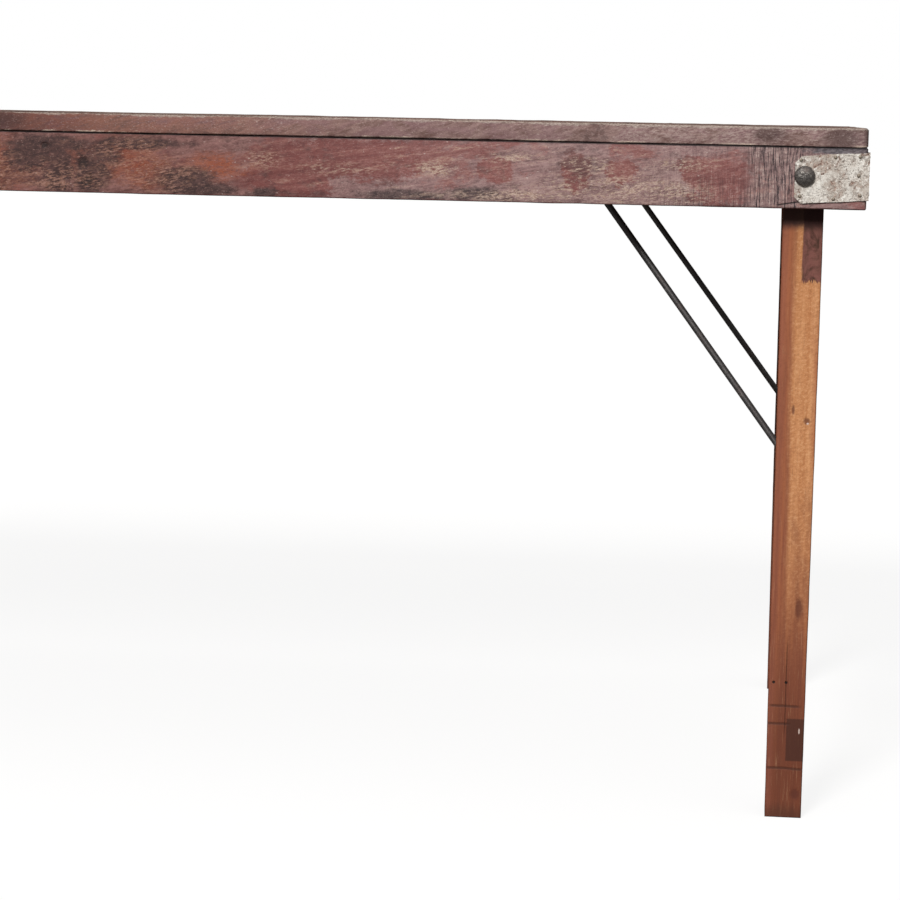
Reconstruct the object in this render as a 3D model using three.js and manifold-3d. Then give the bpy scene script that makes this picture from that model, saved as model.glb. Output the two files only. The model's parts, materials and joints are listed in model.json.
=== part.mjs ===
// Long folding table: a plank top on two aprons, with a folding leg frame and an iron brace at each end.
// Millimetres. X runs along the table, the front faces -Y, Z is up and the floor is Z = 0.
// Shown set up. Each leg frame turns inwards on two bolts, and its brace swings up under the top with it.
import * as THREE from 'three';
import { mergeVertices } from 'three/addons/utils/BufferGeometryUtils.js';
import Module from 'manifold-3d';

const wasm = await Module();
wasm.setup();

// Overall size of the woodwork
const TABLE_LENGTH = 2000;
const TABLE_DEPTH = 800;
const TABLE_HEIGHT = 760;

// Clearances
const GAP = 0.3; // between pieces that touch
const BOLT_PLAY = 0.6; // on the diameter of a fixed bolt hole
const PIVOT_PLAY = 1; // on the diameter of the hole that a leg turns on
const MORTISE_PLAY = 0.6; // on the width and height of a tenon
const MORTISE_END = 1; // beyond the end of a tenon
const PINTLE_END = 0.4; // between a pintle and its socket plate
const BAR_PLAY = 0.3; // round the brace inside its straps

// Top
const BOARD_COUNT = 5;
const BOARD_THICK = 21;
const BOARD_EASE = 2;

// Aprons and end rails
const APRON_HEIGHT = 66;
const APRON_THICK = 25;
const APRON_EASE = 1.2;

// Battens across the underside of the boards
const BATTEN_WIDTH = 60;
const BATTEN_THICK = 18;
const BATTEN_EASE = 1.5;
const END_BATTEN_FROM_END = 240;
const END_BATTEN_INSIDE_LEGS = 8;
const MIDDLE_BATTEN_FROM_MIDDLE = 140;

// Legs
const LEG_THICK = 44;
const FOOT_WIDTH = 40;
const LEG_EASE = 1.5;
const PIVOT_FROM_END = 66;
const PIVOT_BELOW_BOARDS = 31;
const LEG_ARC_SEGMENTS = 10;

// Rails of a leg frame
const RAIL_THICK = 22;
const UPPER_RAIL_HEIGHT = 50;
const UPPER_RAIL_BELOW_PIVOT = 80;
const STRETCHER_HEIGHT = 60;
const STRETCHER_BELOW_PIVOT = 430;
const RAIL_EASE = 1.5;
const TENON_LENGTH = 20;
const TENON_THICK = 12;
const TENON_SHOULDER = 7;

// Pivot bolts
const BOLT_DIAMETER = 10;
const BOLT_TIP_EASE = 0.8;
const BOLT_BEYOND_NUT = 4;
const DOME_DIAMETER = 22;
const DOME_HEIGHT = 6.5;
const DOME_RIM = 1;
const DOME_STEPS = 5;
const WASHER_THICK = 2.4;
const SPACER_DIAMETER = 26;
const WASHER_DIAMETER = 24;
const NUT_ACROSS_FLATS = 17;
const NUT_THICK = 8;
const ROUND_SEGMENTS = 24;

// Corner plates
const PLATE_THICK = 2;
const PLATE_INBOARD = 10.5;
const PLATE_BELOW_BOARDS = 5.2;
const PLATE_BELOW_BOLT = 29;
const PLATE_RISE = 4.3;
const PLATE_CLIP = 7;
const PLATE_RETURN = 42;

// Braces: one round bar bent into a wide U
const BAR_DIAMETER = 7.5;
const BAR_SEGMENTS = 7;
const BRACE_REACH = 264;
const BAR_BELOW_BOARDS = 0.75;
const SOCKET_BELOW_PIVOT = 325.5;
const ARM_INSIDE_LEG = 18;
const ARM_SPLAY = 20;
const BRACE_BEND = 14;
const PINTLE_BEND = 8;
const BEND_STEPS = 6;
const BEND_LAP = 0.5;
const SOCKET_PLATE_WIDTH = 26;
const SOCKET_PLATE_HEIGHT = 36;
const SOCKET_PLATE_THICK = 1.5;
const SOCKET_PLATE_EASE = 0.2;
const SOCKET_PLAY = 2; // on the diameter of a pintle
const SOCKET_DEPTH = 14;

// Straps that hold the brace up under the boards
const STRAP_INSIDE_ARM = 90;
const STRAP_WIDTH = 18;
const STRAP_LENGTH = 40;
const STRAP_THICK = 1.5;

// Where the main faces are
const HALF_LENGTH = TABLE_LENGTH / 2;
const HALF_DEPTH = TABLE_DEPTH / 2;
const BOARDS_BOTTOM = TABLE_HEIGHT - BOARD_THICK;
const RAILS_TOP = BOARDS_BOTTOM - GAP;
const APRON_BOTTOM = BOARDS_BOTTOM - APRON_HEIGHT;
const APRON_INNER = HALF_DEPTH - APRON_THICK;
const SPACER_OUTER = APRON_INNER - GAP;
const SPACER_INNER = SPACER_OUTER - WASHER_THICK;
const LEG_OUTER = SPACER_INNER - GAP;
const LEG_INNER = LEG_OUTER - LEG_THICK;
const WASHER_OUTER = LEG_INNER - GAP;
const WASHER_INNER = WASHER_OUTER - WASHER_THICK;
const NUT_OUTER = WASHER_INNER - GAP;
const NUT_INNER = NUT_OUTER - NUT_THICK;
const PLATE_INNER = HALF_DEPTH + GAP;
const PLATE_OUTER = PLATE_INNER + PLATE_THICK;
const HEAD_INNER = PLATE_OUTER + GAP;
const HEAD_OUTER = HEAD_INNER + DOME_HEIGHT;
const PIVOT_X = HALF_LENGTH - PIVOT_FROM_END;
const PIVOT_Z = BOARDS_BOTTOM - PIVOT_BELOW_BOARDS;
const BRACE_X = PIVOT_X - BRACE_REACH;
const BRACE_Z = BOARDS_BOTTOM - BAR_BELOW_BOARDS - BAR_DIAMETER / 2;
const BRACE_HALF_WIDTH_FOOT = LEG_INNER - ARM_INSIDE_LEG;
const BRACE_HALF_WIDTH_TOP = BRACE_HALF_WIDTH_FOOT - ARM_SPLAY;
const STRAP_FROM_MIDDLE = BRACE_HALF_WIDTH_TOP - STRAP_INSIDE_ARM;
const SOCKET_Z = PIVOT_Z - SOCKET_BELOW_PIVOT;
const SOCKET_DIAMETER = BAR_DIAMETER + SOCKET_PLAY;
const SOCKET_PLATE_OUTER = LEG_INNER - GAP;
const SOCKET_PLATE_INNER = SOCKET_PLATE_OUTER - SOCKET_PLATE_THICK;
const PINTLE_TIP = SOCKET_PLATE_INNER - PINTLE_END;
const PLATE_END_INNER = HALF_LENGTH + GAP;
const PLATE_END_OUTER = PLATE_END_INNER + PLATE_THICK;
const PLATE_ABOVE_BOLT = PIVOT_BELOW_BOARDS - PLATE_BELOW_BOARDS - PLATE_RISE;

// Cutters run past the faces they cut by this much.
const OVERCUT = 2;

const DARK_IRON = { color: 0x2b2827, roughness: 0.55, metalness: 0.85 };
const BRIGHT_IRON = { color: 0x6d675f, roughness: 0.5, metalness: 0.9 };
const CREAM_PAINT = { color: 0xd9cfb4, roughness: 0.6, metalness: 0.1 };
const RED_PAINT = { color: 0x7a4640, roughness: 0.75, metalness: 0 };
const WORN_TOP = { color: 0x8a7566, roughness: 0.8, metalness: 0 };
const LEG_WOOD = { color: 0xa5683a, roughness: 0.55, metalness: 0 };
const BARE_PINE = { color: 0xb08a5c, roughness: 0.8, metalness: 0 };

const table = new THREE.Group();
table.name = 'folding_table';

// A closed three.js geometry as a solid that can be cut and joined.
function solid(geometry) {
  const flat = geometry.index ? geometry.toNonIndexed() : geometry;
  const bare = new THREE.BufferGeometry();
  bare.setAttribute('position', flat.getAttribute('position'));
  const merged = mergeVertices(bare, 1e-4);
  return new wasm.Manifold(new wasm.Mesh({
    numProp: 3,
    vertProperties: new Float32Array(merged.attributes.position.array),
    triVerts: new Uint32Array(merged.index.array),
  }));
}

// Adds one named piece to a group.
function piece(parent, name, body, look) {
  const made = body.getMesh();
  const geometry = new THREE.BufferGeometry();
  geometry.setAttribute('position', new THREE.BufferAttribute(made.vertProperties, 3));
  geometry.setIndex(new THREE.BufferAttribute(made.triVerts, 1));
  const faceted = geometry.toNonIndexed();
  faceted.computeVertexNormals();
  const mesh = new THREE.Mesh(faceted, new THREE.MeshStandardMaterial(look));
  mesh.name = name;
  parent.add(mesh);
}

// A plain block between two corners, used as a cutter.
function block(low, high) {
  const size = high.map((v, i) => v - low[i]);
  const geometry = new THREE.BoxGeometry(...size);
  geometry.translate(...high.map((v, i) => (v + low[i]) / 2));
  return solid(geometry);
}

// A sawn and planed piece of wood between two corners, with every arris eased.
function timber(low, high, ease) {
  const [w, d, h] = high.map((v, i) => v - low[i]);
  const a = w / 2 - ease;
  const b = d / 2 - ease;
  const c = ease * (3 - Math.SQRT2);
  const outline = new THREE.Shape();
  outline.moveTo(a, b - c);
  outline.lineTo(a - c, b);
  outline.lineTo(c - a, b);
  outline.lineTo(-a, b - c);
  outline.lineTo(-a, c - b);
  outline.lineTo(c - a, -b);
  outline.lineTo(a - c, -b);
  outline.lineTo(a, c - b);
  outline.closePath();
  const geometry = eased(outline, h, ease);
  geometry.translate(...high.map((v, i) => (v + low[i]) / 2));
  return solid(geometry);
}

// An outline drawn one ease inside its true size, extruded along Z and centred on it.
function eased(outline, height, ease) {
  const geometry = new THREE.ExtrudeGeometry(outline, {
    depth: height - 2 * ease,
    bevelEnabled: true,
    bevelThickness: ease,
    bevelSize: ease,
    bevelSegments: 1,
    curveSegments: LEG_ARC_SEGMENTS,
  });
  geometry.translate(0, 0, ease - height / 2);
  return geometry;
}

// A round rod along Y, between two distances in front of the table's middle plane.
function rodAlongY(diameter, x, z, inner, outer, segments = ROUND_SEGMENTS) {
  const radius = diameter / 2;
  const geometry = new THREE.CylinderGeometry(radius, radius, outer - inner, segments);
  geometry.translate(x, -(outer + inner) / 2, z);
  return solid(geometry);
}

// Top boards, side by side from front to back
const BOARD_PITCH = (TABLE_DEPTH + GAP) / BOARD_COUNT;
for (let i = 0; i < BOARD_COUNT; i += 1) {
  const front = i * BOARD_PITCH - HALF_DEPTH;
  const low = [-HALF_LENGTH, front, BOARDS_BOTTOM];
  const high = [HALF_LENGTH, front + BOARD_PITCH - GAP, TABLE_HEIGHT];
  piece(table, `top_board_${i + 1}`, timber(low, high, BOARD_EASE), WORN_TOP);
}

// Aprons, bored for the pivot bolts
for (const [face, toFront] of [['front', 1], ['back', -1]]) {
  const half = new THREE.Group();
  half.scale.set(1, toFront, 1);
  table.add(half);
  let apron = timber(
    [-HALF_LENGTH, -HALF_DEPTH, APRON_BOTTOM],
    [HALF_LENGTH, -APRON_INNER, RAILS_TOP],
    APRON_EASE,
  );
  for (const x of [-PIVOT_X, PIVOT_X]) {
    const bore = rodAlongY(
      BOLT_DIAMETER + BOLT_PLAY, x, PIVOT_Z, APRON_INNER - OVERCUT, HALF_DEPTH + OVERCUT,
    );
    apron = apron.subtract(bore);
  }
  piece(half, `${face}_apron`, apron, RED_PAINT);
}

// One end of the table, drawn for the right-hand end
function tableEnd(end, side) {
  const half = new THREE.Group();
  half.scale.set(side, 1, 1);
  table.add(half);

  const railHalf = APRON_INNER - GAP;
  piece(half, `${end}_end_rail`, timber(
    [HALF_LENGTH - APRON_THICK, -railHalf, APRON_BOTTOM],
    [HALF_LENGTH, railHalf, RAILS_TOP],
    APRON_EASE,
  ), RED_PAINT);

  const battens = [
    ['end', HALF_LENGTH - END_BATTEN_FROM_END, LEG_INNER - END_BATTEN_INSIDE_LEGS],
    ['middle', MIDDLE_BATTEN_FROM_MIDDLE, railHalf],
  ];
  for (const [where, x, reach] of battens) {
    piece(half, `${end}_${where}_batten`, timber(
      [x - BATTEN_WIDTH / 2, -reach, RAILS_TOP - BATTEN_THICK],
      [x + BATTEN_WIDTH / 2, reach, RAILS_TOP],
      BATTEN_EASE,
    ), BARE_PINE);
  }

  piece(half, `${end}_upper_rail`, legRail(UPPER_RAIL_BELOW_PIVOT, UPPER_RAIL_HEIGHT), LEG_WOOD);
  piece(half, `${end}_stretcher`, legRail(STRETCHER_BELOW_PIVOT, STRETCHER_HEIGHT), LEG_WOOD);
  piece(half, `${end}_brace`, brace(), DARK_IRON);
  for (const [face, toFront] of [['front', 1], ['back', -1]]) {
    const corner = new THREE.Group();
    corner.scale.set(1, toFront, 1);
    half.add(corner);
    tableCorner(corner, `${end}_${face}`);
  }
}

// A rail between two legs, with a tenon at each end
function legRail(belowPivot, height) {
  const middle = PIVOT_Z - belowPivot;
  const shoulder = LEG_INNER - GAP;
  const bar = timber(
    [PIVOT_X - RAIL_THICK / 2, -shoulder, middle - height / 2],
    [PIVOT_X + RAIL_THICK / 2, shoulder, middle + height / 2],
    RAIL_EASE,
  );
  const reach = shoulder + TENON_LENGTH;
  return bar.add(block(
    [PIVOT_X - TENON_THICK / 2, -reach, middle - height / 2 + TENON_SHOULDER],
    [PIVOT_X + TENON_THICK / 2, reach, middle + height / 2 - TENON_SHOULDER],
  ));
}

// The mortise that a rail's tenon sits in, for the front leg
function mortise(belowPivot, height) {
  const middle = PIVOT_Z - belowPivot;
  const halfThick = (TENON_THICK + MORTISE_PLAY) / 2;
  const halfHeight = (height + MORTISE_PLAY) / 2 - TENON_SHOULDER;
  const depth = LEG_INNER - GAP + TENON_LENGTH + MORTISE_END;
  return block(
    [PIVOT_X - halfThick, -depth, middle - halfHeight],
    [PIVOT_X + halfThick, OVERCUT - LEG_INNER, middle + halfHeight],
  );
}

// A leg: round about its bolt at the top, slightly tapered to the foot
function leg() {
  const round = LEG_THICK / 2 - LEG_EASE;
  const foot = FOOT_WIDTH / 2 - LEG_EASE;
  const outline = new THREE.Shape();
  outline.moveTo(-foot, LEG_EASE - PIVOT_Z);
  outline.lineTo(foot, LEG_EASE - PIVOT_Z);
  outline.lineTo(round, 0);
  outline.absarc(0, 0, round, 0, Math.PI, false);
  outline.closePath();
  const geometry = eased(outline, LEG_THICK, LEG_EASE);
  geometry.rotateX(Math.PI / 2);
  geometry.translate(PIVOT_X, -(LEG_OUTER + LEG_INNER) / 2, PIVOT_Z);
  const bolt = rodAlongY(
    BOLT_DIAMETER + PIVOT_PLAY, PIVOT_X, PIVOT_Z, LEG_INNER - OVERCUT, LEG_OUTER + OVERCUT,
  );
  const socket = rodAlongY(
    SOCKET_DIAMETER, PIVOT_X, SOCKET_Z, LEG_INNER - OVERCUT, LEG_INNER + SOCKET_DEPTH,
  );
  return solid(geometry)
    .subtract(bolt)
    .subtract(socket)
    .subtract(mortise(UPPER_RAIL_BELOW_PIVOT, UPPER_RAIL_HEIGHT))
    .subtract(mortise(STRETCHER_BELOW_PIVOT, STRETCHER_HEIGHT));
}

// The dome-headed bolt that a leg turns on
function pivotBolt() {
  const radius = BOLT_DIAMETER / 2;
  const tip = -(NUT_INNER - BOLT_BEYOND_NUT);
  const rise = DOME_HEIGHT - DOME_RIM;
  const profile = [];
  for (let i = 0; i <= DOME_STEPS; i += 1) {
    const turn = (Math.PI / 2) * (i / DOME_STEPS);
    const out = (DOME_DIAMETER / 2) * Math.sin(turn);
    profile.push(new THREE.Vector2(out, rise * (1 - Math.cos(turn)) - HEAD_OUTER));
  }
  profile.push(new THREE.Vector2(DOME_DIAMETER / 2, -HEAD_INNER));
  profile.push(new THREE.Vector2(radius, -HEAD_INNER));
  profile.push(new THREE.Vector2(radius, tip - BOLT_TIP_EASE));
  profile.push(new THREE.Vector2(radius - BOLT_TIP_EASE, tip));
  profile.push(new THREE.Vector2(0, tip));
  const geometry = new THREE.LatheGeometry(profile, ROUND_SEGMENTS);
  geometry.translate(PIVOT_X, 0, PIVOT_Z);
  return solid(geometry);
}

// A washer round the pivot bolt
function washer(diameter, inner, outer) {
  const hole = rodAlongY(
    BOLT_DIAMETER + BOLT_PLAY, PIVOT_X, PIVOT_Z, inner - OVERCUT, outer + OVERCUT,
  );
  return rodAlongY(diameter, PIVOT_X, PIVOT_Z, inner, outer).subtract(hole);
}

// The hexagon nut on the inside of the leg
function nut() {
  const acrossCorners = NUT_ACROSS_FLATS / Math.cos(Math.PI / 6);
  const hole = rodAlongY(
    BOLT_DIAMETER + BOLT_PLAY, PIVOT_X, PIVOT_Z, NUT_INNER - OVERCUT, NUT_OUTER + OVERCUT,
  );
  return rodAlongY(acrossCorners, PIVOT_X, PIVOT_Z, NUT_INNER, NUT_OUTER, 6).subtract(hole);
}

// The sheet plate that wraps the corner of the apron, set on a slight slant
function cornerPlate() {
  const left = PIVOT_X - PLATE_INBOARD;
  const low = PIVOT_Z - PLATE_BELOW_BOLT;
  const high = PIVOT_Z + PLATE_ABOVE_BOLT;
  const outline = new THREE.Shape();
  outline.moveTo(left + PLATE_CLIP, low);
  outline.lineTo(PLATE_END_OUTER, low + PLATE_RISE);
  outline.lineTo(PLATE_END_OUTER, high + PLATE_RISE);
  outline.lineTo(left + PLATE_CLIP, high);
  outline.lineTo(left, high - PLATE_CLIP);
  outline.lineTo(left, low + PLATE_CLIP);
  outline.closePath();
  const geometry = new THREE.ExtrudeGeometry(outline, { depth: PLATE_THICK, bevelEnabled: false });
  geometry.rotateX(Math.PI / 2);
  geometry.translate(0, -PLATE_INNER, 0);
  const wrapped = block(
    [PLATE_END_INNER, -PLATE_OUTER, low + PLATE_RISE],
    [PLATE_END_OUTER, PLATE_RETURN - PLATE_OUTER, high + PLATE_RISE],
  );
  const hole = rodAlongY(
    BOLT_DIAMETER + BOLT_PLAY, PIVOT_X, PIVOT_Z, PLATE_INNER - OVERCUT, PLATE_OUTER + OVERCUT,
  );
  return solid(geometry).add(wrapped).subtract(hole);
}

// The iron bar of one brace: pintle, arm, hinge bar, arm, pintle
function brace() {
  const path = [
    [PIVOT_X, -PINTLE_TIP, SOCKET_Z, 0],
    [PIVOT_X, -BRACE_HALF_WIDTH_FOOT, SOCKET_Z, PINTLE_BEND],
    [BRACE_X, -BRACE_HALF_WIDTH_TOP, BRACE_Z, BRACE_BEND],
    [BRACE_X, BRACE_HALF_WIDTH_TOP, BRACE_Z, BRACE_BEND],
    [PIVOT_X, BRACE_HALF_WIDTH_FOOT, SOCKET_Z, PINTLE_BEND],
    [PIVOT_X, PINTLE_TIP, SOCKET_Z, 0],
  ].map(([x, y, z, bend]) => ({ at: new THREE.Vector3(x, y, z), bend }));
  const section = new THREE.Shape();
  section.absarc(0, 0, BAR_DIAMETER / 2, 0, 2 * Math.PI, false);
  const along = (curve, steps) => solid(new THREE.ExtrudeGeometry(section, {
    extrudePath: curve,
    steps,
    curveSegments: BAR_SEGMENTS,
    bevelEnabled: false,
  }));
  const toward = (a, b, distance) => b.at.clone().sub(a.at).setLength(distance).add(a.at);
  let bar = null;
  path.slice(1).forEach((next, i) => {
    const here = path[i];
    const start = toward(here, next, Math.max(0, here.bend - BEND_LAP));
    const end = toward(next, here, Math.max(0, next.bend - BEND_LAP));
    const run = along(new THREE.LineCurve3(start, end), 1);
    bar = bar ? bar.add(run) : run;
    if (next.bend > 0) {
      const into = toward(next, here, next.bend);
      const out = toward(next, path[i + 2], next.bend);
      bar = bar.add(along(new THREE.QuadraticBezierCurve3(into, next.at, out), BEND_STEPS));
    }
  });
  return bar;
}

// The plate on the inside of a leg that a pintle stands in
function socketPlate() {
  const plate = timber(
    [PIVOT_X - SOCKET_PLATE_WIDTH / 2, -SOCKET_PLATE_OUTER, SOCKET_Z - SOCKET_PLATE_HEIGHT / 2],
    [PIVOT_X + SOCKET_PLATE_WIDTH / 2, -SOCKET_PLATE_INNER, SOCKET_Z + SOCKET_PLATE_HEIGHT / 2],
    SOCKET_PLATE_EASE,
  );
  return plate.subtract(rodAlongY(
    SOCKET_DIAMETER, PIVOT_X, SOCKET_Z, SOCKET_PLATE_INNER - OVERCUT, SOCKET_PLATE_OUTER + OVERCUT,
  ));
}

// A strap bent round the hinge bar of the brace and screwed up into the boards
function strap() {
  const inner = STRAP_FROM_MIDDLE - STRAP_WIDTH / 2;
  const outer = STRAP_FROM_MIDDLE + STRAP_WIDTH / 2;
  const inside = BAR_DIAMETER + 2 * BAR_PLAY;
  const outside = inside + 2 * STRAP_THICK;
  const feet = block(
    [BRACE_X - STRAP_LENGTH / 2, -outer, RAILS_TOP - STRAP_THICK],
    [BRACE_X + STRAP_LENGTH / 2, -inner, RAILS_TOP],
  );
  const saddle = block(
    [BRACE_X - outside / 2, -outer, BRACE_Z],
    [BRACE_X + outside / 2, -inner, RAILS_TOP],
  ).add(rodAlongY(outside, BRACE_X, BRACE_Z, inner, outer));
  const hollow = block(
    [BRACE_X - inside / 2, -outer - OVERCUT, BRACE_Z],
    [BRACE_X + inside / 2, OVERCUT - inner, RAILS_TOP + OVERCUT],
  ).add(rodAlongY(inside, BRACE_X, BRACE_Z, inner - OVERCUT, outer + OVERCUT));
  return feet.add(saddle).subtract(hollow);
}

// Everything that comes once at each corner, drawn for the front right corner
function tableCorner(corner, name) {
  piece(corner, `${name}_leg`, leg(), LEG_WOOD);
  piece(corner, `${name}_bolt`, pivotBolt(), DARK_IRON);
  piece(corner, `${name}_corner_plate`, cornerPlate(), CREAM_PAINT);
  piece(corner, `${name}_spacer`, washer(SPACER_DIAMETER, SPACER_INNER, SPACER_OUTER), BRIGHT_IRON);
  piece(corner, `${name}_washer`, washer(WASHER_DIAMETER, WASHER_INNER, WASHER_OUTER), BRIGHT_IRON);
  piece(corner, `${name}_nut`, nut(), BRIGHT_IRON);
  piece(corner, `${name}_socket_plate`, socketPlate(), BRIGHT_IRON);
  piece(corner, `${name}_strap`, strap(), BRIGHT_IRON);
}

tableEnd('right', 1);
tableEnd('left', -1);

export default table;
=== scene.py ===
# %% [markdown]
# # A worn folding table
# The table is a plank top on two painted aprons, with a leg frame at each end that folds up under
# it and an iron brace that holds each frame upright. The measured model is loaded first and never
# changed. Every piece made here either rides on one of its bodies or takes the place of one of its
# nodes, so the legs still fold when the finished table is posed.
# %% Load the measured model
import math

import json

import bmesh
import bpy
from mathutils import Euler, Matrix, Vector, noise


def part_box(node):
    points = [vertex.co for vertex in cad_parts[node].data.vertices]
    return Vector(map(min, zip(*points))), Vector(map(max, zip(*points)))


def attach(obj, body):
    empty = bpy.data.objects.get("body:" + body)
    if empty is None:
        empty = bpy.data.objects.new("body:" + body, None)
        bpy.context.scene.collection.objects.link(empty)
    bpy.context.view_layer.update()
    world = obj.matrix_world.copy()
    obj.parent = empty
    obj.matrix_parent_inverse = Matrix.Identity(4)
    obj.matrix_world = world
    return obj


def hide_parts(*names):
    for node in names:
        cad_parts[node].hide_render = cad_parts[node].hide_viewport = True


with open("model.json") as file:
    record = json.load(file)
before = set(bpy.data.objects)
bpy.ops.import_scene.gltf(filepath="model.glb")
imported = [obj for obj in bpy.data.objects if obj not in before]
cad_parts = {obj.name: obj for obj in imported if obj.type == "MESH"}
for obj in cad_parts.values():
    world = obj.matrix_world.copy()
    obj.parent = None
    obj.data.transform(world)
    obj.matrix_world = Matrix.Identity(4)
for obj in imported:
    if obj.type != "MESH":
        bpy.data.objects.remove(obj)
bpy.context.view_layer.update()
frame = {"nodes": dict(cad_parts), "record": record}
nodes = frame["nodes"]

# %% [markdown]
# ## Places that many pieces share
# Pieces are placed from the measured boxes, so nothing has to be fitted by eye. The pivot is the
# middle of a bolt. The top's end and side are how far it reaches from the middle of the table.
# %% Shared places
mm = 0.001
bolt_low, bolt_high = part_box("right_front_bolt")
pivot_x = (bolt_low.x + bolt_high.x) / 2
pivot_z = (bolt_low.z + bolt_high.z) / 2
apron_low, apron_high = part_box("front_apron")
leg_low, leg_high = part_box("right_front_leg")
board_low, board_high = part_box("top_board_1")
top_end, top_side = board_high.x, -board_low.y
ends = {"right": 1, "left": -1}
faces = {"front": -1, "back": 1}
print("pivot:", round(pivot_x, 4), round(pivot_z, 4), "apron front:", round(apron_low.y, 4))
print("top reaches:", round(top_end, 4), round(top_side, 4))

# %% [markdown]
# ## Shader maths written as Python
# A pattern is a sum of noises and masks. Placing and linking a node for each plus and times would
# fill pages, so a wire stands for one output of a shader node and takes Python's own operators. The
# vertical bar gives the larger of two masks, and rise turns a value into a soft-edged mask.
# %% Wires
class Wire:
    def __init__(self, finish, socket):
        self.finish, self.socket = finish, socket

    def maths(self, operation, *others):
        settings = {"operation": operation}
        return self.finish.add("ShaderNodeMath", settings, [self, *others])[0]

    def __add__(self, other):
        return self.maths("ADD", other)

    def __sub__(self, other):
        return self.maths("SUBTRACT", other)

    def __mul__(self, other):
        return self.maths("MULTIPLY", other)

    def __truediv__(self, other):
        return self.maths("DIVIDE", other)

    def __neg__(self):
        return self.maths("MULTIPLY", -1.0)

    def __abs__(self):
        return self.maths("ABSOLUTE")

    def __radd__(self, other):
        return self + other

    def __rmul__(self, other):
        return self * other

    def __rsub__(self, other):
        return -self + other

    def __or__(self, other):
        return self.maths("MAXIMUM", other)

    def rise(self, low, high):
        """0 below low, 1 above high, and smooth between. low above high turns it round."""
        settings = {"interpolation_type": "SMOOTHSTEP", "clamp": True}
        return self.finish.add("ShaderNodeMapRange", settings, [self, low, high, 0.0, 1.0])[0]


print("wires ready")

# %% [markdown]
# ## Finishes
# A finish holds one material, and its add method makes any node from its type, its settings and
# what goes into it. The patterns read the place on the object in metres, so a stain stays where it
# is put and the grain runs on from face to face. Unwrapping a piece would break it at every seam.
# %% Finishes
class Finish:
    def __init__(self, name):
        self.material = bpy.data.materials.new(name)
        self.material.use_nodes = True
        self.tree = self.material.node_tree
        self.shader = self.tree.nodes["Principled BSDF"]
        self.place = self.add("ShaderNodeTexCoord")[3]
        self.x, self.y, self.z = self.parts(self.place)

    def add(self, kind, settings=None, inputs=()):
        node = self.tree.nodes.new(kind)
        for key, value in (settings or {}).items():
            setattr(node, key, value)
        pairs = inputs.items() if isinstance(inputs, dict) else enumerate(inputs)
        for key, value in pairs:
            self.feed(node.inputs[key], value)
        return [Wire(self, socket) for socket in node.outputs]

    def feed(self, socket, value):
        if isinstance(value, Wire):
            self.tree.links.new(value.socket, socket)
        else:
            socket.default_value = value

    def parts(self, vector):
        return self.add("ShaderNodeSeparateXYZ", None, [vector])

    def stretched(self, scale, turn=(0, 0, 0), shift=(0, 0, 0)):
        """The place turned, then scaled along each axis: small numbers make long streaks."""
        place = self.place
        if any(turn):
            place = self.add("ShaderNodeMapping", None, {"Vector": place, "Rotation": turn})[0]
        inputs = {"Vector": place, "Location": shift, "Scale": scale}
        return self.add("ShaderNodeMapping", None, inputs)[0]

    def cloud(self, vector, scale=1.0, detail=4.0, rough=0.55, swirl=0.0):
        """Soft noise from about 0.25 to 0.75."""
        inputs = {"Vector": vector, "Scale": scale, "Detail": detail, "Roughness": rough,
                  "Distortion": swirl}
        return self.add("ShaderNodeTexNoise", None, inputs)[0]

    def mix(self, amount, below, above, how="MIX"):
        settings = {"data_type": "RGBA", "blend_type": how, "clamp_factor": True}
        return self.add("ShaderNodeMix", settings, {0: amount, 6: below, 7: above})[2]

    def patch(self, centre, size, ragged=0.0, soft=0.25, grain=None):
        """1 inside a soft-edged patch round a place on the object, 0 outside it."""
        settings = {"operation": "SUBTRACT"}
        gap = self.add("ShaderNodeVectorMath", settings, [self.place, centre])[0]
        inverse = tuple(1.0 / s for s in size)
        scaled = self.add("ShaderNodeVectorMath", {"operation": "MULTIPLY"}, [gap, inverse])[0]
        reach = self.add("ShaderNodeVectorMath", {"operation": "LENGTH"}, [scaled])[1]
        if ragged:
            reach = reach + (grain - 0.5) * ragged
        return reach.rise(1.0 + soft, 1.0 - soft)

    def set(self, name, value):
        self.feed(self.shader.inputs[name], value)
        return self

    def bump(self, height, depth, strength=1.0):
        """Raises and sinks the surface: height in parts of depth, depth in metres."""
        inputs = {"Strength": strength, "Distance": depth, "Height": height}
        self.set("Normal", self.add("ShaderNodeBump", None, inputs)[0])
        return self


print("finishes ready")

# %% [markdown]
# ## Colours and masks
# Colours are written as web codes, because those can be read off any colour chart. The renderer
# adds light, so it wants each one without its screen curve. A layer that lies in several places
# takes the strongest of their masks, so that places which overlap don't count twice.
# %% Colours and masks
def colour(code):
    """A colour from its web code, as the renderer wants it."""
    values = [int(code[i:i + 2], 16) / 255 for i in (0, 2, 4)]
    return (*[v / 12.92 if v <= 0.04045 else ((v + 0.055) / 1.055) ** 2.4 for v in values], 1.0)


def any_of(masks):
    """The strongest of several masks."""
    strongest, *others = masks
    for mask in others:
        strongest = strongest | mask
    return strongest


print("a middle grey is", [round(v, 3) for v in colour("808080")[:3]], "to the renderer")

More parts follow.
